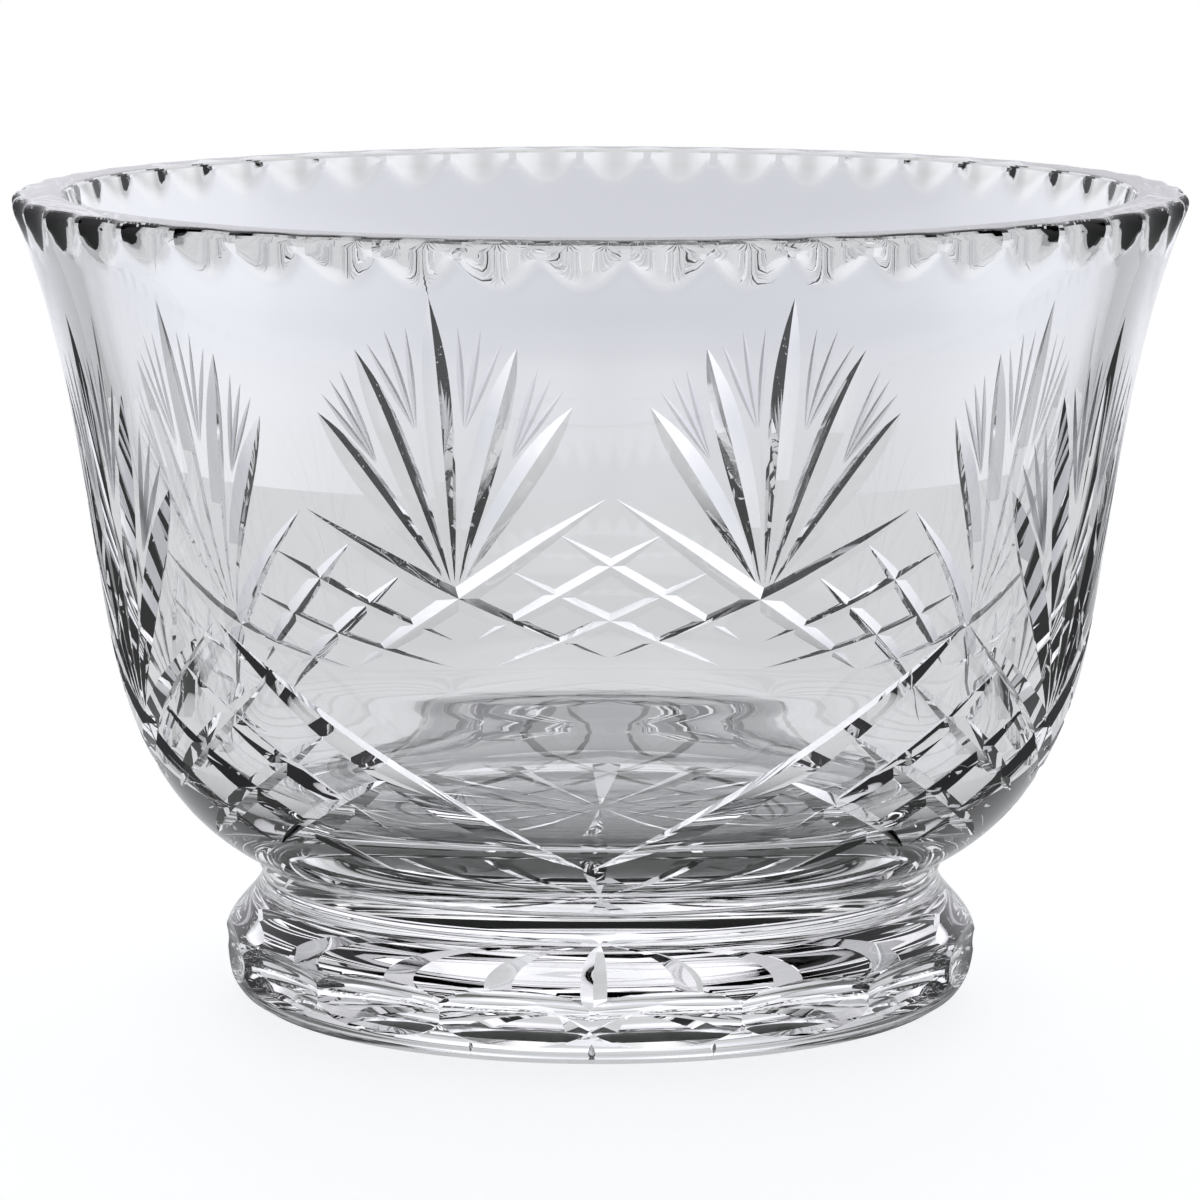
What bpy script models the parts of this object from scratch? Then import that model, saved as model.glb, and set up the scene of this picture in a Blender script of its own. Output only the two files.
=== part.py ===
"""Footed cut-glass punch bowl: a thick turned bowl and a separately gathered foot joined at the neck.

The vessel stands on the XY plane with its axis on Z. The plain panel of the wall faces -Y.
Every decoration is a ground cut: mitres in a diamond lattice, fans of long rays, scoops round
the lip, thumb ovals round the foot and a star under it.
"""
import math

import bmesh
import bpy
from mathutils import Matrix, Vector

# Overall sizes of the turned glass, in metres.
OVERALL_HEIGHT = 0.176
RIM_RADIUS = 0.1274
BELT_RADIUS = 0.105
BELT_HEIGHT = 0.0712
NECK_RADIUS = 0.0743
NECK_HEIGHT = 0.0272
FOOT_RADIUS = 0.0827
FOOT_BULGE_HEIGHT = 0.012

# Glass left between the outside and the inside.
RIM_WALL = 0.0118
SIDE_WALL = 0.0126
SIDE_HEIGHT = 0.080
FLOOR_THICKNESS = 0.0158
FLOOR_FLAT_RADIUS = 0.0526

# Shape of the outside curve: how far each handle reaches and how steeply the wall flares there.
SHELF_STEP = 0.0016
SHELF_RISE = 0.0038
SHELF_HANDLE = 0.003
SHELF_ANGLE = math.radians(56)
BELT_HANDLE_DOWN = 0.034
BELT_HANDLE_UP = 0.0222
BELT_FLARE = 0.258
RIM_HANDLE = 0.034
RIM_FLARE = 0.46
LIP_OUTER_ROUND = 0.0022
LIP_INNER_ROUND = 0.0012

# Shape of the inside curve, which passes SIDE_WALL inside the outer wall at SIDE_HEIGHT.
INNER_RIM_HANDLE = 0.0193
INNER_RIM_FLARE = 0.418
SIDE_HANDLE_UP = 0.0264
SIDE_HANDLE_DOWN = 0.015
SIDE_FLARE = 0.328
INNER_FLOOR_HANDLE = 0.0354

# Foot: flat ring that it stands on, hollow under it, and the toe where the side starts.
CONTACT_SETBACK = 0.0059
CONTACT_WIDTH = 0.013
RECESS_DEPTH = 0.003
RECESS_SLOPE = 0.002
TOE_SETBACK = 0.0035
TOE_HEIGHT = 0.0015
FOOT_TOP_HANDLE = 0.0064
NECK_HANDLE = 0.0056

# The foot is stuck to the bowl while hot; the two gathers stay apart by this much here.
JOINT_GAP = 0.0003

# Diamond lattice of mitre cuts. Heights are where the cuts' centre lines run on the wall.
LATTICE_COUNT = 8
LATTICE_TOP = 0.0935
LATTICE_CORNER = 0.064
LATTICE_FOOT = 0.044
BORDER_WIDTH = 0.0066
BORDER_DEPTH = 0.0027
HATCH_LINES = 2
HATCH_WIDTH = 0.0052
HATCH_DEPTH = 0.0021
HATCH_OVERRUN = 0.13
# The cuts of the second hand are ground across the first ones, a shade deeper.
SECOND_HAND_EXTRA = 0.0001

# Fans standing between the lozenges.
FAN_BASE = 0.068
FAN_RIM_MARGIN = 0.022
FAN_MID_DROP = 0.015
FAN_OUTER_DROP = 0.0335
FAN_MID_ANGLE = math.radians(10.8)
FAN_OUTER_ANGLE = math.radians(17.7)
FAN_BASE_SPREAD = math.radians(0.5)
RAY_WIDTH = 0.0076
RAY_DEPTH = 0.003
# Share of its length at which a ray is widest.
RAY_MIDDLE = 0.62

# Scoops ground out of the lip on a stone that leans out as it rises.
SCOOP_COUNT = 48
SCOOP_RADIUS = 0.0172
SCOOP_DEPTH = 0.0023
SCOOP_LEAN = 0.17
SCOOP_REACH = 0.018

# Thumb ovals round the side of the foot, hollowed by a wheel with a rounded edge.
OVAL_COUNT = 16
OVAL_WHEEL = 0.100
OVAL_EDGE = 0.0105
OVAL_DEPTH = 0.0033
OVAL_HEIGHT = 0.0105
OVAL_TILT = math.radians(4)
OVAL_HALF_ARC = math.radians(56)
OVAL_SWING = math.radians(13)

# Star under the foot: its rays widen and deepen outwards.
STAR_RAYS = 16
STAR_MARGIN = 0.0012
STAR_WIDTH = 0.0068
STAR_DEPTH = 0.0022
STAR_CORE_RADIUS = 0.004

# Facets of the turned forms and of the cuts.
SEGMENTS = 72
BELLY_STEPS = 5
FLARE_STEPS = 4
INSIDE_STEPS = 5
FOOT_STEPS = 3
CUT_STEPS = 6
ARC_STEPS = 5
OVAL_STEPS = 4
# How far a cutter stands clear of the glass, and how far its edge lifts at the ends of a cut.
CUTTER_CLEAR = 0.0018
CUT_RUN_OUT = 0.0003

GLASS_COLOUR = (0.93, 0.945, 0.95, 1.0)
GLASS_ROUGHNESS = 0.02


def bezier(start, start_handle, end_handle, end, steps):
    """Points of a cubic curve after its start point, in (radius, height)."""
    points = []
    for step in range(1, steps + 1):
        t = step / steps
        weights = ((1 - t) ** 3, 3 * t * (1 - t) ** 2, 3 * t * t * (1 - t), t ** 3)
        corners = (start, start_handle, end_handle, end)
        radius = sum(w * c[0] for w, c in zip(weights, corners))
        height = sum(w * c[1] for w, c in zip(weights, corners))
        points.append((radius, height))
    return points


def along(flare):
    """Unit step up a wall that leans out by flare for each unit of height."""
    length = math.hypot(flare, 1)
    return flare / length, 1 / length


def offset(point, direction, distance):
    return point[0] + direction[0] * distance, point[1] + direction[1] * distance


def quarter_round(centre, radius, start_angle, steps):
    """Points of a quarter turn about centre, after its first point."""
    points = []
    for step in range(1, steps + 1):
        angle = start_angle + step / steps * math.pi / 2
        points.append((centre[0] + radius * math.cos(angle), centre[1] + radius * math.sin(angle)))
    return points


def outer_wall(belly_steps, flare_steps):
    """Outside of the bowl from the joint at the neck up to the rounding of the lip."""
    joint = (NECK_RADIUS, NECK_HEIGHT + JOINT_GAP)
    shelf = (NECK_RADIUS + SHELF_STEP, NECK_HEIGHT + SHELF_RISE)
    belt = (BELT_RADIUS, BELT_HEIGHT)
    lip = (RIM_RADIUS, OVERALL_HEIGHT - LIP_OUTER_ROUND)
    shelf_way = (math.cos(SHELF_ANGLE), math.sin(SHELF_ANGLE))
    belt_way = along(BELT_FLARE)
    rim_way = along(RIM_FLARE)
    points = [joint, shelf]
    points += bezier(shelf, offset(shelf, shelf_way, SHELF_HANDLE),
                     offset(belt, belt_way, -BELT_HANDLE_DOWN), belt, belly_steps)
    points += bezier(belt, offset(belt, belt_way, BELT_HANDLE_UP),
                     offset(lip, rim_way, -RIM_HANDLE), lip, flare_steps)
    return points


def wall_at(height):
    """Radius of the outside wall at a height, and how much it leans out there."""
    for (r0, z0), (r1, z1) in zip(FINE_WALL, FINE_WALL[1:]):
        if height <= z1:
            break
    lean = (r1 - r0) / (z1 - z0)
    return r0 + lean * (height - z0), lean


FINE_WALL = outer_wall(8 * BELLY_STEPS, 8 * FLARE_STEPS)


def inner_wall():
    """Inside of the bowl from the rounding of the lip down to the middle of the floor."""
    lip = (RIM_RADIUS - RIM_WALL, OVERALL_HEIGHT - LIP_INNER_ROUND)
    side = (wall_at(SIDE_HEIGHT)[0] - SIDE_WALL, SIDE_HEIGHT)
    floor_height = NECK_HEIGHT + JOINT_GAP + FLOOR_THICKNESS
    floor = (FLOOR_FLAT_RADIUS, floor_height)
    rim_way = along(INNER_RIM_FLARE)
    side_way = along(SIDE_FLARE)
    points = [lip]
    points += bezier(lip, offset(lip, rim_way, -INNER_RIM_HANDLE),
                     offset(side, side_way, SIDE_HANDLE_UP), side, INSIDE_STEPS)
    points += bezier(side, offset(side, side_way, -SIDE_HANDLE_DOWN),
                     offset(floor, (1, 0), INNER_FLOOR_HANDLE), floor, INSIDE_STEPS)
    points.append((0, floor_height))
    return points


def bowl_outline():
    outside = outer_wall(BELLY_STEPS, FLARE_STEPS)
    inside = inner_wall()
    lip_centre = (RIM_RADIUS - LIP_OUTER_ROUND, OVERALL_HEIGHT - LIP_OUTER_ROUND)
    edge_centre = (inside[0][0] + LIP_INNER_ROUND, inside[0][1])
    outline = [(0, NECK_HEIGHT + JOINT_GAP)] + outside
    outline += quarter_round(lip_centre, LIP_OUTER_ROUND, 0, 3)
    outline.append((edge_centre[0], OVERALL_HEIGHT))
    outline += quarter_round(edge_centre, LIP_INNER_ROUND, math.pi / 2, 2)
    return outline + inside[1:]


# Radii that the underside of the foot takes from its widest place.
CONTACT_RADIUS = FOOT_RADIUS - CONTACT_SETBACK
RECESS_RADIUS = CONTACT_RADIUS - CONTACT_WIDTH


def foot_outline():
    """Foot from the middle of its hollow underside, round the toe and up to the joint at the neck."""
    bulge = (FOOT_RADIUS, FOOT_BULGE_HEIGHT)
    toe = (FOOT_RADIUS - TOE_SETBACK, TOE_HEIGHT)
    neck = (NECK_RADIUS, NECK_HEIGHT)
    outline = [(0, RECESS_DEPTH), (RECESS_RADIUS - RECESS_SLOPE, RECESS_DEPTH)]
    outline += [(RECESS_RADIUS, 0), (CONTACT_RADIUS, 0), toe]
    side_lean = TOE_SETBACK / 2
    outline += bezier(toe, offset(toe, (1, 1), side_lean),
                      (FOOT_RADIUS, (TOE_HEIGHT + FOOT_BULGE_HEIGHT) / 2), bulge, FOOT_STEPS)
    outline += bezier(bulge, offset(bulge, (0, 1), FOOT_TOP_HANDLE),
                      offset(neck, (0, -1), NECK_HANDLE), neck, 2 * FOOT_STEPS)
    outline.append((0, NECK_HEIGHT))
    return outline


def around(angle, radius, height):
    """Point at an angle from the front panel, turning towards +X."""
    return Vector((radius * math.sin(angle), -radius * math.cos(angle), height))


def glass(name):
    material = bpy.data.materials.new(name + "_glass")
    material.use_nodes = True
    shader = material.node_tree.nodes["Principled BSDF"]
    shader.inputs["Base Color"].default_value = GLASS_COLOUR
    shader.inputs["Roughness"].default_value = GLASS_ROUGHNESS
    shader.inputs["Metallic"].default_value = 0.0
    shader.inputs["Transmission Weight"].default_value = 1.0
    return material


def new_object(name, mesh_builder):
    """Mesh object filled by a function that works on an empty mesh editor."""
    mesh = bpy.data.meshes.new(name)
    editor = bmesh.new()
    mesh_builder(editor)
    editor.to_mesh(mesh)
    editor.free()
    item = bpy.data.objects.new(name, mesh)
    bpy.context.scene.collection.objects.link(item)
    return item


def turned(name, outline):
    """Solid of revolution about Z from an outline that starts and ends on the axis."""
    def spin(editor):
        corners = [editor.verts.new((radius, 0, height)) for radius, height in outline]
        edges = [editor.edges.new(pair) for pair in zip(corners, corners[1:])]
        bmesh.ops.spin(editor, geom=corners + edges, axis=(0, 0, 1), cent=(0, 0, 0),
                       steps=SEGMENTS, angle=2 * math.pi, use_merge=True)
        bmesh.ops.remove_doubles(editor, verts=editor.verts[:], dist=0.000002)
        bmesh.ops.recalc_face_normals(editor, faces=editor.faces[:])
    item = new_object(name, spin)
    item.data.shade_smooth()
    item.data.set_sharp_from_angle(angle=math.radians(30))
    item.data.materials.append(glass(name))
    return item


def cut(target, name, mesh_builder):
    """Take a cutter, which may hold several separate bodies, out of the glass."""
    cutter = new_object(name, mesh_builder)
    cutter.hide_render = True
    cutter.display_type = "WIRE"
    modifier = target.modifiers.new(name, "BOOLEAN")
    modifier.operation = "DIFFERENCE"
    modifier.solver = "EXACT"
    modifier.object = cutter


def bridge_sections(editor, sections):
    """Closed body through sections of equal length, capped at both ends."""
    rings = [[editor.verts.new(point) for point in section] for section in sections]
    faces = [editor.faces.new(rings[0]), editor.faces.new(rings[-1][::-1])]
    count = len(rings[0])
    for low, high in zip(rings, rings[1:]):
        for i in range(count):
            j = (i + 1) % count
            faces.append(editor.faces.new((low[i], high[i], high[j], low[j])))
    bmesh.ops.recalc_face_normals(editor, faces=faces)


def mitre(editor, path, width, depth, middle=0.5):
    """Leaf-shaped V cut along (angle, height) stations: deepest at the middle, running out at both ends."""
    slope = width / 2 / depth
    spots = []
    normals = []
    for angle, height in path:
        radius, lean = wall_at(height)
        spots.append(around(angle, radius, height))
        normals.append(around(angle, 1, -lean).normalized())
    sections = []
    for i, (spot, normal) in enumerate(zip(spots, normals)):
        ahead = spots[min(i + 1, len(spots) - 1)] - spots[max(i - 1, 0)]
        side = ahead.cross(normal).normalized()
        u = i / (len(spots) - 1)
        share = (middle - u) / middle if u < middle else (u - middle) / (1 - middle)
        sink = (depth + CUT_RUN_OUT) * (1 - share ** 2.2) - CUT_RUN_OUT
        reach = side * slope * (sink + CUTTER_CLEAR)
        crest = spot + normal * CUTTER_CLEAR
        sections.append((spot - normal * sink, crest + reach, crest - reach))
    bridge_sections(editor, sections)


def lattice_path(start_angle, hand, first, last):
    """Stretch of a lattice line that falls from LATTICE_TOP, turning one eighth by LATTICE_FOOT."""
    turn = 2 * math.pi / LATTICE_COUNT
    fall = 4 * LATTICE_CORNER - 3 * LATTICE_TOP - LATTICE_FOOT
    bend = LATTICE_FOOT - LATTICE_TOP - fall
    path = []
    for step in range(CUT_STEPS + 1):
        u = first + (last - first) * step / CUT_STEPS
        path.append((start_angle + hand * turn * u, LATTICE_TOP + fall * u + bend * u * u))
    return path


def lattice(hand):
    """All the mitres that fall to one hand: lozenge borders, and the hatching inside each lozenge."""
    turn = 2 * math.pi / LATTICE_COUNT
    share = 1 / (HATCH_LINES + 1)
    extra = SECOND_HAND_EXTRA if hand < 0 else 0.0

    def cutters(editor):
        for k in range(LATTICE_COUNT):
            apex = k * turn
            border_start = 0.5 if k == 0 else 0.0
            mitre(editor, lattice_path(apex, hand, border_start, 1.0), BORDER_WIDTH, BORDER_DEPTH + extra)
            for line in range(1, HATCH_LINES + 1):
                if k == 0:
                    continue
                start = apex - hand * turn * line * share
                first = line * share / 2
                last = 0.5 + first + HATCH_OVERRUN * line
                mitre(editor, lattice_path(start, hand, first, last), HATCH_WIDTH, HATCH_DEPTH + extra)
    return cutters


def fan_rays(tip_angle, tip_drop, base_place):
    """The same ray of every fan, one fan above each lozenge corner away from the plain panel."""
    turn = 2 * math.pi / LATTICE_COUNT
    tip = OVERALL_HEIGHT - FAN_RIM_MARGIN - tip_drop

    def cutters(editor):
        for k in range(1, LATTICE_COUNT - 1):
            middle = (k + 0.5) * turn
            path = []
            for step in range(CUT_STEPS + 1):
                u = step / CUT_STEPS
                base = base_place * FAN_BASE_SPREAD
                path.append((middle + base + (tip_angle - base) * u, FAN_BASE + (tip - FAN_BASE) * u))
            mitre(editor, path, RAY_WIDTH, RAY_DEPTH, RAY_MIDDLE)
    return cutters


def lip_scoops(first):
    """Every second upright hollow ground into the lip, each with its round face to the axis."""
    half_arc = math.radians(34)
    low = OVERALL_HEIGHT - SCOOP_REACH
    high = OVERALL_HEIGHT + CUTTER_CLEAR

    def cutters(editor):
        for k in range(first, SCOOP_COUNT, 2):
            turn = Matrix.Rotation(k * 2 * math.pi / SCOOP_COUNT, 3, "Z")
            sections = []
            for height in (low, high):
                deepest = RIM_RADIUS - SCOOP_DEPTH + SCOOP_LEAN * (height - OVERALL_HEIGHT)
                centre = deepest + SCOOP_RADIUS
                section = []
                for step in range(ARC_STEPS + 1):
                    angle = half_arc * (2 * step / ARC_STEPS - 1)
                    point = Vector((SCOOP_RADIUS * math.sin(angle),
                                    SCOOP_RADIUS * math.cos(angle) - centre, height))
                    section.append(turn @ point)
                sections.append(section)
            bridge_sections(editor, sections)
    return cutters


def foot_ovals(first):
    """Every second thumb oval: the rounded edge of a wheel laid against the leaning side of the foot."""
    side_radius = FOOT_RADIUS - (FOOT_BULGE_HEIGHT - OVAL_HEIGHT) * math.tan(OVAL_TILT) / 2
    outward = Vector((0, -math.cos(OVAL_TILT), -math.sin(OVAL_TILT)))
    upward = Vector((0, -math.sin(OVAL_TILT), math.cos(OVAL_TILT)))
    deepest = Vector((0, -side_radius, OVAL_HEIGHT)) - outward * OVAL_DEPTH

    def cutters(editor):
        for k in range(first, OVAL_COUNT, 2):
            turn = Matrix.Rotation((k + 0.5) * 2 * math.pi / OVAL_COUNT, 3, "Z")
            sections = []
            for place in range(OVAL_STEPS + 1):
                swing = OVAL_SWING * (2 * place / OVAL_STEPS - 1)
                section = []
                for step in range(ARC_STEPS + 1):
                    angle = OVAL_HALF_ARC * (2 * step / ARC_STEPS - 1)
                    reach = OVAL_WHEEL - OVAL_EDGE * (1 - math.cos(angle))
                    point = deepest + outward * (OVAL_WHEEL - reach * math.cos(swing))
                    point += upward * OVAL_EDGE * math.sin(angle)
                    section.append(turn @ (point + Vector((reach * math.sin(swing), 0, 0))))
                sections.append(section)
            bridge_sections(editor, sections)
    return cutters


def star(editor):
    """Rays of the star: grooves that start near the middle of the hollow and end at its edge."""
    reach = RECESS_RADIUS - RECESS_SLOPE - STAR_MARGIN
    edge = RECESS_DEPTH - CUT_RUN_OUT
    slope = STAR_WIDTH / 2 / STAR_DEPTH
    for ray in range(STAR_RAYS):
        turn = Matrix.Rotation(ray * 2 * math.pi / STAR_RAYS, 3, "Z")
        sections = []
        for radius in (STAR_CORE_RADIUS, reach):
            depth = STAR_DEPTH * radius / reach
            half = slope * (depth + CUT_RUN_OUT)
            corners = ((-half, -radius, edge), (0, -radius, RECESS_DEPTH + depth), (half, -radius, edge))
            sections.append([turn @ Vector(corner) for corner in corners])
        bridge_sections(editor, sections)


for leftover in list(bpy.data.objects):
    bpy.data.objects.remove(leftover, do_unlink=True)

# The bowl, turned, then cut with the lattice, the fans and the lip.
bowl = turned("bowl", bowl_outline())
cut(bowl, "lattice_right", lattice(1))
cut(bowl, "lattice_left", lattice(-1))
FAN = [(0, 0, 0), (FAN_MID_ANGLE, FAN_MID_DROP, 1), (FAN_OUTER_ANGLE, FAN_OUTER_DROP, 2)]
for ray_angle, ray_drop, ray_place in FAN:
    for ray_hand in (1, -1) if ray_place else (1,):
        side_name = "right" if ray_hand > 0 else "left"
        cut(bowl, f"fan_ray_{ray_place}_{side_name}",
            fan_rays(ray_hand * ray_angle, ray_drop, ray_hand * ray_place))
for first_scoop in (0, 1):
    cut(bowl, f"lip_scoops_{first_scoop}", lip_scoops(first_scoop))

# The foot, turned, then cut with the thumb ovals and the star.
foot = turned("foot", foot_outline())
for first_oval in (0, 1):
    cut(foot, f"foot_ovals_{first_oval}", foot_ovals(first_oval))
cut(foot, "star", star)
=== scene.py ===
import math

import bpy
import numpy as np
from mathutils import Matrix, Vector


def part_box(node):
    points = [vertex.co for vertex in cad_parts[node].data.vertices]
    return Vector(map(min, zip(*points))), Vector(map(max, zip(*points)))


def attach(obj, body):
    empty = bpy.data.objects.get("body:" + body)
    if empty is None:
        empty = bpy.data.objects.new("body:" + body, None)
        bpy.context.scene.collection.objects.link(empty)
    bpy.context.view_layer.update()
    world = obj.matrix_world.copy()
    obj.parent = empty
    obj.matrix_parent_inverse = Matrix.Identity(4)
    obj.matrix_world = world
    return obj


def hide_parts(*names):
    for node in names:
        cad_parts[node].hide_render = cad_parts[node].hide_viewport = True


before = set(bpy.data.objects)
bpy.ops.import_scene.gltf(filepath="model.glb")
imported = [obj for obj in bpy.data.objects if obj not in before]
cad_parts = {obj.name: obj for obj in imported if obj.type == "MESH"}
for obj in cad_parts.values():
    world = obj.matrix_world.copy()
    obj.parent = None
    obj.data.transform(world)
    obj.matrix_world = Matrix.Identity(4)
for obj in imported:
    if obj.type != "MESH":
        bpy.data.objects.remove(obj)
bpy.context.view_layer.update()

# Bowl: a thick gather of colourless crystal, blown and turned to a flared wall, then ground by hand.
# Its base is a flat disc at the neck, where the foot was stuck on while both were hot.
bowl_low, bowl_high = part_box("bowl")
foot_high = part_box("foot")[1]
lip_radius = 0.1274
lip_height = bowl_high.z
joint_height = (bowl_low.z + foot_high.z) / 2
neck_radius = 0.0743
shelf_step = 0.0016
shelf_height = 0.031
shelf_angle = math.radians(56)
belt_radius = 0.105
belt_height = 0.0712
belt_flare = 0.258
lip_flare = 0.46
lip_outer_round = 0.0022
lip_inner_round = 0.0012
lip_wall = 0.0118
side_height = 0.080
side_wall = 0.0126
side_flare = 0.328
floor_height = 0.0433
floor_flat_radius = 0.0526
inner_lip_flare = 0.418
around_steps = 432
curve_steps = 26
upper_wall_steps = 60
upper_wall_crowd = 1.4
merge_distance = 0.000003

# Each pull is the length of the handle that bends the wall's curve at that place.
shelf_pull = 0.003
belt_pull_below = 0.034
belt_pull_above = 0.0222
lip_pull = 0.034
inner_lip_pull = 0.0193
side_pull_above = 0.0264
side_pull_below = 0.015
floor_pull = 0.0354


def bezier(start, start_handle, end_handle, end, steps, crowd=1.0):
    """Points of a cubic curve after its start, as (radius, height); crowd packs them towards the end."""
    t = 1 - (1 - np.linspace(0, 1, steps + 1)[1:, None]) ** crowd
    corners = [np.array(corner) for corner in (start, start_handle, end_handle, end)]
    curve = (1 - t) ** 3 * corners[0] + 3 * t * (1 - t) ** 2 * corners[1]
    curve = curve + 3 * t * t * (1 - t) * corners[2] + t ** 3 * corners[3]
    return [tuple(point) for point in curve]


def leaning(point, flare, distance):
    """Point reached from another by going up a wall that leans out by flare."""
    length = math.hypot(flare, 1)
    return point[0] + flare / length * distance, point[1] + distance / length


def quarter_round(centre, radius, start_angle, steps):
    """Points of a quarter turn about centre, after its first point."""
    angles = [start_angle + (step + 1) / steps * math.pi / 2 for step in range(steps)]
    return [(centre[0] + radius * math.cos(a), centre[1] + radius * math.sin(a)) for a in angles]


def straight(start, end, steps):
    """Points of a straight line after its start."""
    way = np.array(end) - np.array(start)
    return [tuple(np.array(start) + way * (step + 1) / steps) for step in range(steps)]


# Outside of the wall from the neck up to the lip, then its inside from the lip down to the floor's middle.
shelf = (neck_radius + shelf_step, shelf_height)
belt = (belt_radius, belt_height)
lip = (lip_radius, lip_height - lip_outer_round)
shelf_handle = (shelf[0] + shelf_pull * math.cos(shelf_angle),
                shelf[1] + shelf_pull * math.sin(shelf_angle))
outer_wall = [(neck_radius, joint_height)]
outer_wall += straight(outer_wall[0], shelf, 3)
outer_wall += bezier(shelf, shelf_handle, leaning(belt, belt_flare, -belt_pull_below), belt, curve_steps)
outer_wall += bezier(belt, leaning(belt, belt_flare, belt_pull_above),
                     leaning(lip, lip_flare, -lip_pull), lip, upper_wall_steps, upper_wall_crowd)
wall_radii = np.array([point[0] for point in outer_wall])
wall_heights = np.array([point[1] for point in outer_wall])

inner_lip = (lip_radius - lip_wall, lip_height - lip_inner_round)
inner_side = (float(np.interp(side_height, wall_heights, wall_radii)) - side_wall, side_height)
floor_edge = (floor_flat_radius, floor_height)
inner_wall = bezier(inner_lip, leaning(inner_lip, inner_lip_flare, -inner_lip_pull),
                    leaning(inner_side, side_flare, side_pull_above), inner_side, curve_steps)
inner_wall += bezier(inner_side, leaning(inner_side, side_flare, -side_pull_below),
                     (floor_flat_radius + floor_pull, floor_height), floor_edge, curve_steps)
inner_wall += straight(floor_edge, (0, floor_height), 4)

lip_centre = (lip_radius - lip_outer_round, lip_height - lip_outer_round)
edge_centre = (inner_lip[0] + lip_inner_round, inner_lip[1])
bowl_outline = straight((0, joint_height), outer_wall[0], 4)[:-1] + outer_wall
bowl_outline = [(0, joint_height)] + bowl_outline
bowl_outline += quarter_round(lip_centre, lip_outer_round, 0, 5)
bowl_outline += straight((lip_centre[0], lip_height), (edge_centre[0], lip_height), 5)
bowl_outline += quarter_round(edge_centre, lip_inner_round, math.pi / 2, 4)
bowl_outline += inner_wall


def turned(name, outline, steps):
    """Solid of revolution: a point drawn along the outline, then spun about the axis."""
    bpy.ops.object.select_all(action="DESELECT")
    bpy.ops.mesh.primitive_plane_add(size=0.001)
    piece = bpy.context.object
    piece.name = name
    piece.data.name = name
    bpy.ops.object.mode_set(mode="EDIT")
    bpy.ops.mesh.select_all(action="SELECT")
    bpy.ops.mesh.merge(type="CENTER")
    bpy.ops.transform.translate(value=(outline[0][0], 0, outline[0][1]))
    place = np.array(outline[0])
    for point in outline[1:]:
        step = np.array(point) - place
        bpy.ops.mesh.extrude_region_move(TRANSFORM_OT_translate={"value": (step[0], 0, step[1])})
        place = np.array(point)
    bpy.ops.mesh.select_all(action="SELECT")
    bpy.ops.mesh.spin(steps=steps, angle=2 * math.pi, center=(0, 0, 0), axis=(0, 0, 1))
    bpy.ops.mesh.select_all(action="SELECT")
    bpy.ops.mesh.remove_doubles(threshold=merge_distance)
    bpy.ops.mesh.normals_make_consistent(inside=False)
    bpy.ops.object.mode_set(mode="OBJECT")
    return piece


bowl = turned("crystal_bowl", bowl_outline, around_steps)

# The scoops of the lip are ground on a leaning stone; the ridges between them are polished soft.
scoop_count = 48
scoop_stone = 0.0172
scoop_depth = 0.0021
scoop_lean = 0.09
scoop_softness = 0.0005
scoop_fade = 0.005
near_axis = 0.001


def points_of(piece):
    """Points of a piece, one row each."""
    spots = np.empty(len(piece.data.vertices) * 3)
    piece.data.vertices.foreach_get("co", spots)
    return spots.reshape(-1, 3)


spots = points_of(bowl)
spot_radius = np.hypot(spots[:, 0], spots[:, 1])
spot_angle = np.arctan2(spots[:, 0], -spots[:, 1])
scoop_turn = 2 * math.pi / scoop_count
off_middle = (spot_angle / scoop_turn + 0.5) % 1 - 0.5
across = lip_radius * off_middle * scoop_turn
below_lip = np.maximum(lip_height - spots[:, 2], 0)
stone_face = lip_radius - scoop_depth - scoop_lean * below_lip
stone_face += scoop_stone - np.sqrt(scoop_stone ** 2 - across ** 2)
wall_here = np.interp(spots[:, 2], wall_heights, wall_radii)
over = wall_here - stone_face - across ** 2 / 2 / lip_radius
eased = np.clip(over + scoop_softness, 0, 2 * scoop_softness) ** 2 / 4 / scoop_softness
soft_over = np.where(over > scoop_softness, over, eased)
fade = np.clip(1 - (wall_here - spot_radius) / scoop_fade, 0, 1)
new_radius = spot_radius - soft_over * fade
shrink = np.where(spot_radius > near_axis, new_radius / np.maximum(spot_radius, near_axis), 1)
spots[:, :2] *= shrink[:, None]
bowl.data.vertices.foreach_set("co", spots.ravel())
bowl.data.update()

# The crystal is clear and very slightly grey, with the faint unevenness of hand polishing.
# The smallest cuts are left satin from the wheel.
crystal_ior = 1.545
crystal_colour = (0.985, 0.987, 0.99, 1)
satin_colour = (0.68, 0.68, 0.72, 1)
polish_roughness = (0.0, 0.012)
satin_roughness = (0.3, 0.36)
polish_scale = 60


def crystal(name, colour, roughness):
    """Clear glass whose roughness wanders between two values."""
    material = bpy.data.materials.new(name)
    material.use_nodes = True
    nodes = material.node_tree.nodes
    links = material.node_tree.links
    shader = nodes["Principled BSDF"]
    shader.inputs["Base Color"].default_value = colour
    shader.inputs["Transmission Weight"].default_value = 1.0
    shader.inputs["IOR"].default_value = crystal_ior
    shader.inputs["Metallic"].default_value = 0.0
    coordinates = nodes.new("ShaderNodeTexCoord")
    noise = nodes.new("ShaderNodeTexNoise")
    noise.inputs["Scale"].default_value = polish_scale
    spread = nodes.new("ShaderNodeMapRange")
    spread.inputs["To Min"].default_value = roughness[0]
    spread.inputs["To Max"].default_value = roughness[1]
    links.new(coordinates.outputs["Object"], noise.inputs["Vector"])
    links.new(noise.outputs["Fac"], spread.inputs["Value"])
    links.new(spread.outputs["Result"], shader.inputs["Roughness"])
    return material


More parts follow.
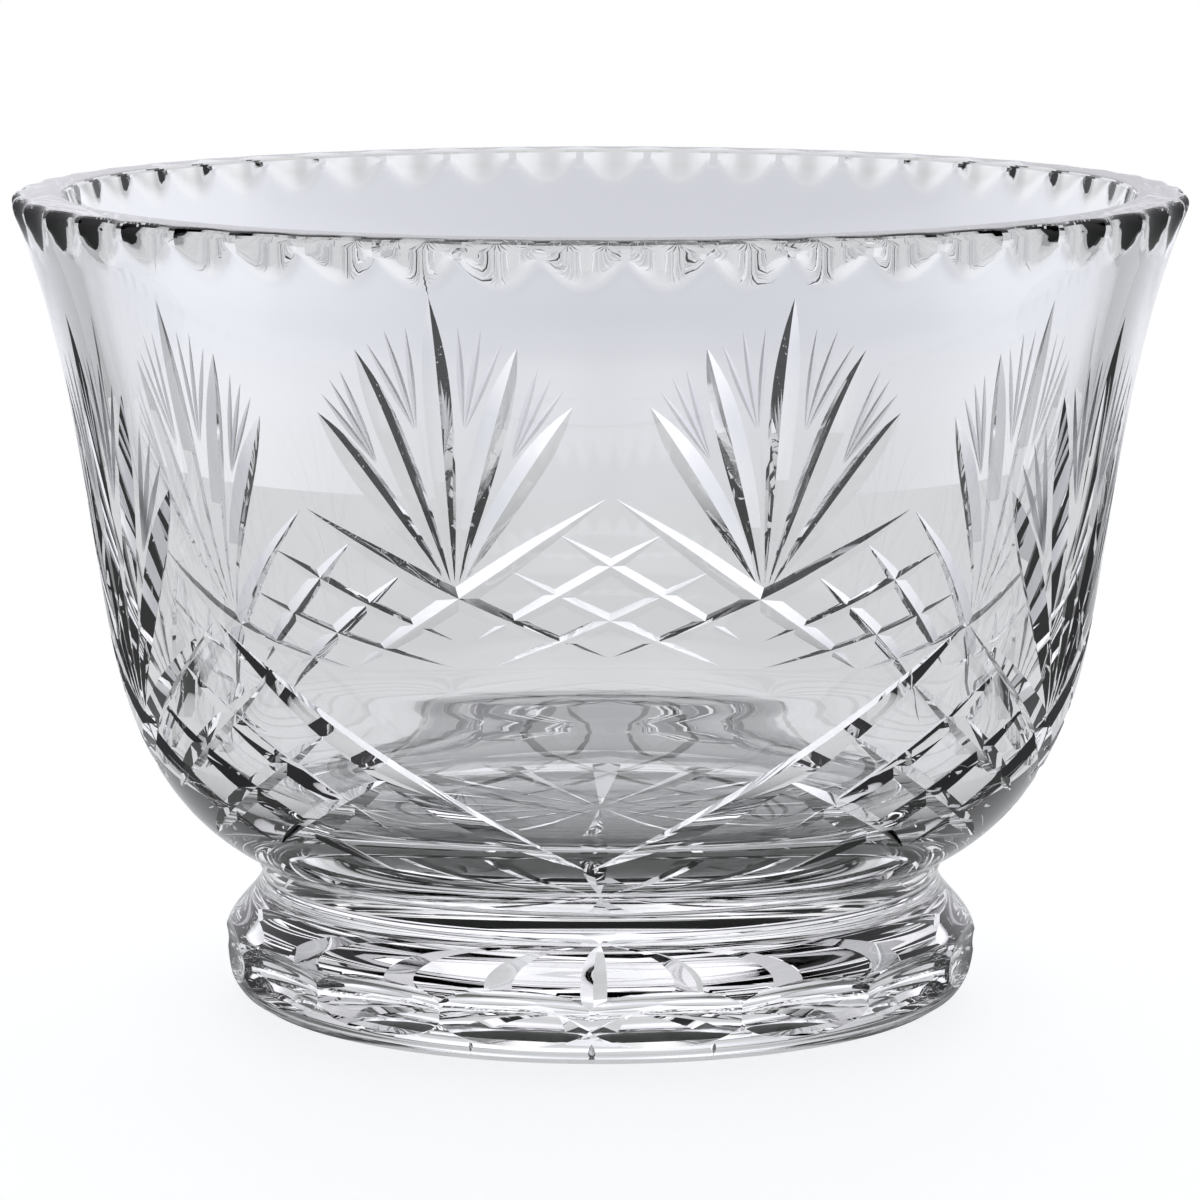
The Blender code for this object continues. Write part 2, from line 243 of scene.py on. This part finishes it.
def weld(name):
    """The hot joint leaves no surface inside the glass, so the seat is fully clear."""
    material = bpy.data.materials.new(name)
    material.use_nodes = True
    material.node_tree.nodes["Principled BSDF"].inputs["Alpha"].default_value = 0.0
    return material


polished = crystal("polished_crystal", crystal_colour, polish_roughness)
satin = crystal("satin_cut", satin_colour, satin_roughness)
welded = weld("hot_weld")
bowl.data.materials.append(polished)

# The mitres are cut with a V-edged wheel: each is a leaf, deepest midway and running out at both ends.
lattice_count = 8
lattice_turn = 2 * math.pi / lattice_count
lattice_top = 0.0935
lattice_corner = 0.064
lattice_foot = 0.044
border_width, border_depth = 0.0066, 0.0020
hatch_width, hatch_depth = 0.0052, 0.0016
hatch_lines = 2
hatch_overrun = 0.13
cut_steps = 26
cutter_clear = 0.0012
cut_run_out = 0.0001
wall_lean = np.gradient(wall_radii, wall_heights)


def wall_spot(angle, height):
    """Point on the outside wall and the outward normal there; angles start at the plain panel."""
    radius = float(np.interp(height, wall_heights, wall_radii))
    lean = float(np.interp(height, wall_heights, wall_lean))
    spot = Vector((radius * math.sin(angle), -radius * math.cos(angle), height))
    normal = Vector((math.sin(angle), -math.cos(angle), -lean)).normalized()
    return spot, normal


def mitre(path, width, depth, fullness=2.2, middle=0.5):
    """Wedge that takes out one leaf-shaped cut along (angle, height) stations, as points and faces."""
    slope = width / 2 / depth
    spots_along = [wall_spot(*station) for station in path]
    points = []
    faces = [(2, 1, 0)]
    last = len(path) - 1
    for i, (spot, normal) in enumerate(spots_along):
        ahead = spots_along[min(i + 1, last)][0] - spots_along[max(i - 1, 0)][0]
        side = ahead.cross(normal).normalized()
        u = i / last
        share = (middle - u) / middle if u < middle else (u - middle) / (1 - middle)
        sink = (depth + cut_run_out) * (1 - share ** fullness) - cut_run_out
        reach = side * slope * (sink + cutter_clear)
        crest = spot + normal * cutter_clear
        points += [spot - normal * sink, crest + reach, crest - reach]
        if i < last:
            b = 3 * i
            faces += [(b, b + 1, b + 4, b + 3), (b + 1, b + 2, b + 5, b + 4), (b + 2, b, b + 3, b + 5)]
    faces.append((3 * last, 3 * last + 1, 3 * last + 2))
    return points, faces


def cutter(name, wedges, finish=None):
    """One tool from several wedges, each turned round the axis to each of its angles."""
    points = []
    faces = []
    for (wedge_points, wedge_faces), angles in wedges:
        for angle in angles:
            turn = Matrix.Rotation(angle, 3, "Z")
            start = len(points)
            points += [turn @ point for point in wedge_points]
            faces += [tuple(start + corner for corner in face) for face in wedge_faces]
    mesh = bpy.data.meshes.new(name)
    mesh.from_pydata(points, [], faces)
    if finish:
        mesh.materials.append(finish)
    tool = bpy.data.objects.new(name, mesh)
    bpy.context.scene.collection.objects.link(tool)
    bpy.ops.object.select_all(action="DESELECT")
    tool.select_set(True)
    bpy.context.view_layer.objects.active = tool
    bpy.ops.object.mode_set(mode="EDIT")
    bpy.ops.mesh.select_all(action="SELECT")
    bpy.ops.mesh.normals_make_consistent(inside=False)
    bpy.ops.object.mode_set(mode="OBJECT")
    return tool


def grind(piece, tool):
    """Take the tool out of the piece, and put the tool away."""
    bpy.ops.object.select_all(action="DESELECT")
    piece.select_set(True)
    bpy.context.view_layer.objects.active = piece
    modifier = piece.modifiers.new(tool.name, "BOOLEAN")
    modifier.operation = "DIFFERENCE"
    modifier.solver = "MANIFOLD"
    modifier.material_mode = "TRANSFER"
    modifier.object = tool
    bpy.ops.object.modifier_apply(modifier=modifier.name)
    bpy.data.objects.remove(tool, do_unlink=True)


def lattice_path(shift, hand, first, last):
    """Stretch of a lattice line that falls from lattice_top by an eighth of a turn."""
    fall = 4 * lattice_corner - 3 * lattice_top - lattice_foot
    bend = lattice_foot - lattice_top - fall
    path = []
    for step in range(cut_steps + 1):
        u = first + (last - first) * step / cut_steps
        path.append((hand * lattice_turn * (u - shift), lattice_top + fall * u + bend * u * u))
    return path


every_lozenge = [lattice_turn * k for k in range(1, lattice_count)]
for hand in (1, -1):
    wedges = [(mitre(lattice_path(0, hand, 0, 1), border_width, border_depth), every_lozenge),
              (mitre(lattice_path(0, hand, 0.5, 1), border_width, border_depth), [0])]
    for line in range(1, hatch_lines + 1):
        shift = line / (hatch_lines + 1)
        first = shift / 2
        last = 0.5 + first + hatch_overrun * line
        hatch = mitre(lattice_path(shift, hand, first, last), hatch_width, hatch_depth)
        wedges.append((hatch, every_lozenge))
    grind(bowl, cutter("lattice", wedges))

# The fans stand on the corners between lozenges: five deep rays each, and small satin leaves between them.
# Tips and roots are given as degrees from the fan's middle and height.
fan_base = 0.068
fan_tips = [(0.0, 0.154), (10.8, 0.139), (17.7, 0.1205)]
fan_base_spread = 0.5
ray_width, ray_depth = 0.0076, 0.0023
ray_middle = 0.62
leaf_width, leaf_depth = 0.0019, 0.0005
leaf_fullness = 1.8
leaf_groups = [((3.2, 0.1124), ((3.4, 0.1467), (6.5, 0.146), (9.2, 0.1416))),
               ((9.2, 0.1033), ((13.5, 0.1338), (15.3, 0.131), (16.9, 0.1266)))]
leaves_in_group = 3
every_fan = [lattice_turn * (k + 0.5) for k in range(1, lattice_count - 1)]


def straight_path(start, end):
    """Stations between two (degrees, height) ends on the wall."""
    path = []
    for step in range(cut_steps + 1):
        u = step / cut_steps
        degrees = start[0] + (end[0] - start[0]) * u
        path.append((math.radians(degrees), start[1] + (end[1] - start[1]) * u))
    return path


for place, (degrees, tip) in enumerate(fan_tips):
    wedges = []
    for hand in (1, -1) if place else (1,):
        path = straight_path((hand * place * fan_base_spread, fan_base), (hand * degrees, tip))
        wedges.append((mitre(path, ray_width, ray_depth, middle=ray_middle), every_fan))
    grind(bowl, cutter("rays", wedges))

for leaf in range(leaves_in_group):
    wedges = []
    for root, tips in leaf_groups:
        for hand in (1, -1):
            path = straight_path((hand * root[0], root[1]), (hand * tips[leaf][0], tips[leaf][1]))
            wedges.append((mitre(path, leaf_width, leaf_depth, leaf_fullness), every_fan))
    grind(bowl, cutter("leaves", wedges, satin))

# The welded seat is left clear, and the edges of the cuts stay crisp.
level_enough = 0.99
seat_tolerance = 0.00005
crisp_angle = math.radians(14)


def dress(piece, seat_height):
    """Give a piece its clear seat and its crisp edges."""
    piece.data.materials.append(welded)
    for face in piece.data.polygons:
        if abs(face.normal.z) > level_enough and abs(face.center.z - seat_height) < seat_tolerance:
            face.material_index = len(piece.data.materials) - 1
    bpy.ops.object.select_all(action="DESELECT")
    piece.select_set(True)
    bpy.context.view_layer.objects.active = piece
    bpy.ops.object.shade_smooth_by_angle(angle=crisp_angle)


dress(bowl, joint_height)

# Between the cuts the wall keeps the true curve that it was turned to.
wall_margin = 0.0005
wall_angle = math.radians(5)
shelf_margin = 0.004
lip_margin = 0.014
wall_faces = bowl.data.polygons
centres = np.empty(len(wall_faces) * 3)
wall_faces.foreach_get("center", centres)
centres = centres.reshape(-1, 3)
normals = np.empty(len(wall_faces) * 3)
wall_faces.foreach_get("normal", normals)
normals = normals.reshape(-1, 3)
corner_counts = np.empty(len(wall_faces), dtype=int)
wall_faces.foreach_get("loop_total", corner_counts)


def turned_normals(spots):
    """Outward normal of the turned wall at each spot."""
    leans = np.interp(spots[:, 2], wall_heights, wall_lean)
    radii = np.maximum(np.hypot(spots[:, 0], spots[:, 1]), near_axis)
    arrows = np.column_stack((spots[:, 0] / radii, spots[:, 1] / radii, -leans))
    return arrows / np.linalg.norm(arrows, axis=1)[:, None]


centre_radius = np.hypot(centres[:, 0], centres[:, 1])
on_wall = centre_radius > np.interp(centres[:, 2], wall_heights, wall_radii) - wall_margin
on_wall &= (turned_normals(centres) * normals).sum(axis=1) > math.cos(wall_angle)
on_wall &= (centres[:, 2] > shelf_height + shelf_margin) & (centres[:, 2] < lip_height - lip_margin)
corner_points = np.empty(len(bowl.data.loops), dtype=int)
bowl.data.loops.foreach_get("vertex_index", corner_points)
true_normals = turned_normals(points_of(bowl)[corner_points]) * np.repeat(on_wall, corner_counts)[:, None]
bowl.data.normals_split_custom_set([tuple(arrow) for arrow in true_normals])
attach(bowl, "root")
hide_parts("bowl")

# Foot: a second gather, pressed to a thick ring and stuck under the bowl, then ground with thumb ovals.
# A star is cut into its hollow underside, and the ring that it stands on is ground flat.
foot_radius = 0.0827
foot_bulge_height = 0.012
ring_setback = 0.0059
ring_width = 0.013
recess_depth = 0.003
recess_slope = 0.002
toe_setback = 0.0035
toe_height = 0.0015
toe_pull = 0.00175
bulge_pull = 0.0064
neck_pull = 0.0056
contact_radius = foot_radius - ring_setback
recess_radius = contact_radius - ring_width
toe = (foot_radius - toe_setback, toe_height)
bulge = (foot_radius, foot_bulge_height)
neck = (neck_radius, joint_height)
foot_outline = [(0, recess_depth)]
foot_outline += straight(foot_outline[0], (recess_radius - recess_slope, recess_depth), 8)
foot_outline += straight(foot_outline[-1], (recess_radius, 0), 2)
foot_outline += straight(foot_outline[-1], (contact_radius, 0), 3)
foot_outline += straight(foot_outline[-1], toe, 2)
foot_outline += bezier(toe, (toe[0] + toe_pull, toe[1] + toe_pull),
                       (foot_radius, (toe[1] + foot_bulge_height) / 2), bulge, 10)
foot_outline += bezier(bulge, (foot_radius, foot_bulge_height + bulge_pull),
                       (neck_radius, joint_height - neck_pull), neck, 20)
foot_outline += straight(neck, (0, joint_height), 5)
foot = turned("crystal_foot", foot_outline, around_steps)
foot.data.materials.append(polished)

# The thumb ovals are ground with the round edge of a large wheel, in two passes of every second oval.
oval_count = 16
oval_wheel = 0.100
oval_edge = 0.0105
oval_depth = 0.0033
oval_height = 0.0105
oval_tilt = math.radians(4)
oval_half_arc = math.radians(56)
oval_swing = math.radians(13)
oval_steps = 20
side_radius = foot_radius - (foot_bulge_height - oval_height) * math.tan(oval_tilt) / 2
outward = Vector((0, -math.cos(oval_tilt), -math.sin(oval_tilt)))
upward = Vector((0, -math.sin(oval_tilt), math.cos(oval_tilt)))
deepest = Vector((0, -side_radius, oval_height)) - outward * oval_depth
oval_points = []
for place in range(oval_steps + 1):
    swing = oval_swing * (2 * place / oval_steps - 1)
    for step in range(oval_steps + 1):
        angle = oval_half_arc * (2 * step / oval_steps - 1)
        reach = oval_wheel - oval_edge * (1 - math.cos(angle))
        point = deepest + outward * (oval_wheel - reach * math.cos(swing))
        point = point + upward * oval_edge * math.sin(angle)
        oval_points.append(point + Vector((reach * math.sin(swing), 0, 0)))
ring = oval_steps + 1
oval_faces = [tuple(range(ring)), tuple(range(ring * ring - 1, ring * oval_steps - 1, -1))]
for place in range(oval_steps):
    for step in range(ring):
        after = (step + 1) % ring
        low = ring * place
        oval_faces.append((low + step, low + after, low + ring + after, low + ring + step))
oval_turn = 2 * math.pi / oval_count
for first in (0, 1):
    angles = [oval_turn * (k + 0.5) for k in range(first, oval_count, 2)]
    grind(foot, cutter("thumb_ovals", [((oval_points, oval_faces), angles)]))

# The rays of the star are mitres that widen and deepen from the middle of the hollow to its edge.
star_rays = 16
star_margin = 0.0012
star_reach = recess_radius - recess_slope - star_margin
star_core_radius = 0.004
star_width, star_depth = 0.0068, 0.0022
star_under = 0.0002
star_points = []
for radius in (star_core_radius, star_reach):
    sink = star_depth * radius / star_reach
    half = star_width / 2 / star_depth * (sink + star_under)
    star_points += [Vector((-half, -radius, recess_depth - star_under)),
                    Vector((0, -radius, recess_depth + sink)),
                    Vector((half, -radius, recess_depth - star_under))]
star_faces = [(0, 1, 2), (5, 4, 3), (0, 3, 4, 1), (1, 4, 5, 2), (2, 5, 3, 0)]
star_angles = [2 * math.pi * k / star_rays for k in range(star_rays)]
grind(foot, cutter("star", [((star_points, star_faces), star_angles)]))

dress(foot, joint_height)
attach(foot, "root")
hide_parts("foot")

# Studio: a pale floor with painted shade, darker round and under the foot, in a broad soft surround of
# faint lavender.
# The floor lies a hair under the glass, so that the ground ring keeps its inner reflection.
floor_radius = 0.6
floor_gap = 0.0002
floor_white = 0.86
floor_white_in_glass = 0.53
floor_colour = (0.20, 0.21, 0.20, 1)
floor_tint = (0.97, 0.98, 1, 1)
floor_roughness = 0.7
# Painted shade: the floor's colour is darker round and under the foot, fading out between these two radii.
shade_colour = (0.098, 0.112, 0.098, 1)
shade_core, shade_edge = 0.068, 0.108
bpy.ops.object.select_all(action="DESELECT")
bpy.ops.mesh.primitive_circle_add(vertices=96, radius=floor_radius, fill_type="NGON",
                                  location=(0, 0, -floor_gap))
floor = bpy.context.object
floor.name = "studio_floor"

# Seen directly the floor is near white; through the glass it glows less, and not at all under the foot,
# which is painted shade.
floor_material = bpy.data.materials.new("pale_floor")
floor_material.use_nodes = True
floor_nodes = floor_material.node_tree.nodes
floor_shader = floor_nodes["Principled BSDF"]
floor_shader.inputs["Roughness"].default_value = floor_roughness
floor_shader.inputs["Emission Color"].default_value = floor_tint
floor_links = floor_material.node_tree.links
floor_path = floor_nodes.new("ShaderNodeLightPath")
floor_seen = floor_nodes.new("ShaderNodeMath")
floor_seen.operation = "MULTIPLY"
floor_seen.inputs[1].default_value = floor_white
floor_in_glass = floor_nodes.new("ShaderNodeMath")
floor_in_glass.operation = "MAXIMUM"
floor_place = floor_nodes.new("ShaderNodeTexCoord")
floor_distance = floor_nodes.new("ShaderNodeVectorMath")
floor_distance.operation = "LENGTH"
# This fade carries the painted shade, both in the floor's colour and in its glow seen through the glass.
painted_shade_fade = floor_nodes.new("ShaderNodeMapRange")
painted_shade_fade.inputs["From Min"].default_value = shade_core
painted_shade_fade.inputs["From Max"].default_value = shade_edge
floor_in_shade = floor_nodes.new("ShaderNodeMix")
floor_in_shade.data_type = "RGBA"
floor_in_shade.inputs["A"].default_value = shade_colour
floor_in_shade.inputs["B"].default_value = floor_colour
# The glow seen through the glass is held back round and under the foot by the same fade: painted shade.
floor_strength = floor_nodes.new("ShaderNodeMath")
floor_strength.operation = "MULTIPLY"
floor_strength.inputs[1].default_value = floor_white_in_glass
floor_glow = floor_nodes.new("ShaderNodeMath")
floor_glow.operation = "MULTIPLY_ADD"
floor_links.new(floor_path.outputs["Is Camera Ray"], floor_seen.inputs[0])
floor_links.new(floor_path.outputs["Is Transmission Ray"], floor_in_glass.inputs[0])
floor_links.new(floor_path.outputs["Is Glossy Ray"], floor_in_glass.inputs[1])
floor_links.new(floor_in_glass.outputs["Value"], floor_glow.inputs[0])
floor_links.new(floor_place.outputs["Object"], floor_distance.inputs[0])
floor_links.new(floor_distance.outputs["Value"], painted_shade_fade.inputs["Value"])
floor_links.new(painted_shade_fade.outputs["Result"], floor_strength.inputs[0])
floor_links.new(floor_strength.outputs["Value"], floor_glow.inputs[1])
floor_links.new(painted_shade_fade.outputs["Result"], floor_in_shade.inputs["Factor"])
floor_links.new(floor_in_shade.outputs["Result"], floor_shader.inputs["Base Color"])
floor_links.new(floor_seen.outputs["Value"], floor_glow.inputs[2])
floor_links.new(floor_glow.outputs["Value"], floor_shader.inputs["Emission Strength"])
floor.data.materials.append(floor_material)

# The surround is set by elevation in degrees. In front a dark band hangs above the camera, which the cuts
# show as black strokes; to the sides it is brighter, then dimmer.
front_limit, back_limit = -0.1, 0.05
side_strengths = [(0, 0.45), (0.04, 0.455), (0.2, 0.59), (0.3, 0.56), (0.5, 0.36), (1, 0.28)]
side_scale = 2
low_stops = [(-90, (0.03, 0.035, 0.03)), (-30, (0.03, 0.035, 0.03)), (-20, (0.50, 0.52, 0.51)),
             (-12, (0.77, 0.78, 0.80)), (-6, (0.81, 0.82, 0.86)), (-2, (0.78, 0.79, 0.86)),
             (0, (0.84, 0.85, 0.91)), (3, (0.96, 0.96, 1.02)), (8, (1.06, 1.06, 1.12))]
back_stops = low_stops + [(40, (1.03, 1.03, 1.08)), (90, (1.0, 1.0, 1.03))]
front_stops = low_stops + [(17, (0.99, 0.99, 1.04)), (20, (0.03, 0.03, 0.03)), (58, (0.03, 0.03, 0.03)),
                           (66, (1.0, 1.0, 1.0))]
world = bpy.data.worlds.new("soft_studio")
bpy.context.scene.world = world
world.use_nodes = True
world_nodes = world.node_tree.nodes
world_links = world.node_tree.links
direction = world_nodes.new("ShaderNodeTexCoord")
split = world_nodes.new("ShaderNodeSeparateXYZ")
rise = world_nodes.new("ShaderNodeMapRange")
rise.inputs["From Min"].default_value = -1


def surround(stops):
    """Colours of one side of the studio, from straight down to straight up."""
    ramp = world_nodes.new("ShaderNodeValToRGB")
    while len(ramp.color_ramp.elements) < len(stops):
        ramp.color_ramp.elements.new(0.5)
    for element, (degrees, colour) in zip(ramp.color_ramp.elements, stops):
        element.position = (math.sin(math.radians(degrees)) + 1) / 2
        element.color = (*colour, 1)
    world_links.new(rise.outputs["Result"], ramp.inputs["Fac"])
    return ramp


back = surround(back_stops)
front = surround(front_stops)
depth = world_nodes.new("ShaderNodeMapRange")
depth.inputs["From Min"].default_value = front_limit
depth.inputs["From Max"].default_value = back_limit
sky = world_nodes.new("ShaderNodeMix")
sky.data_type = "RGBA"
off_side = world_nodes.new("ShaderNodeMath")
off_side.operation = "ABSOLUTE"
side_light = world_nodes.new("ShaderNodeFloatCurve")
side_curve = side_light.mapping.curves[0]
side_curve.points[0].location = side_strengths[0]
side_curve.points[1].location = side_strengths[-1]
for place, strength in side_strengths[1:-1]:
    side_curve.points.new(place, strength)
side_light.mapping.update()
side_gain = world_nodes.new("ShaderNodeMath")
side_gain.operation = "MULTIPLY"
side_gain.inputs[1].default_value = side_scale
lit_sky = world_nodes.new("ShaderNodeVectorMath")
lit_sky.operation = "SCALE"
world_path = world_nodes.new("ShaderNodeLightPath")
seen = world_nodes.new("ShaderNodeMix")
seen.data_type = "RGBA"
seen.inputs["B"].default_value = (1, 1, 1, 1)
world_links.new(direction.outputs["Generated"], split.inputs["Vector"])
world_links.new(split.outputs["Z"], rise.inputs["Value"])
world_links.new(split.outputs["Y"], depth.inputs["Value"])
world_links.new(depth.outputs["Result"], sky.inputs["Factor"])
world_links.new(front.outputs["Color"], sky.inputs["A"])
world_links.new(back.outputs["Color"], sky.inputs["B"])
world_links.new(split.outputs["X"], off_side.inputs[0])
world_links.new(off_side.outputs["Value"], side_light.inputs["Value"])
world_links.new(sky.outputs["Result"], lit_sky.inputs[0])
world_links.new(side_light.outputs["Value"], side_gain.inputs[0])
world_links.new(side_gain.outputs["Value"], lit_sky.inputs["Scale"])
world_links.new(lit_sky.outputs["Vector"], seen.inputs["A"])
world_links.new(world_path.outputs["Is Camera Ray"], seen.inputs["Factor"])
world_links.new(seen.outputs["Result"], world_nodes["Background"].inputs["Color"])

# The camera stands where the photo was taken from.
camera_lens = 171.5
camera_distance = 1.2374
camera_height = 0.2764
camera_turn = math.radians(1.5)
camera_pitch = math.radians(8.754)
camera_data = bpy.data.cameras.new("camera")
camera_data.lens = camera_lens
camera_data.sensor_width = 36
camera = bpy.data.objects.new("camera", camera_data)
camera.location = (camera_distance * math.sin(camera_turn), -camera_distance * math.cos(camera_turn),
                   camera_height)
camera.rotation_euler = (math.pi / 2 - camera_pitch, 0, camera_turn)
bpy.context.scene.collection.objects.link(camera)
bpy.context.scene.camera = camera
bpy.context.scene.view_settings.view_transform = "Standard"
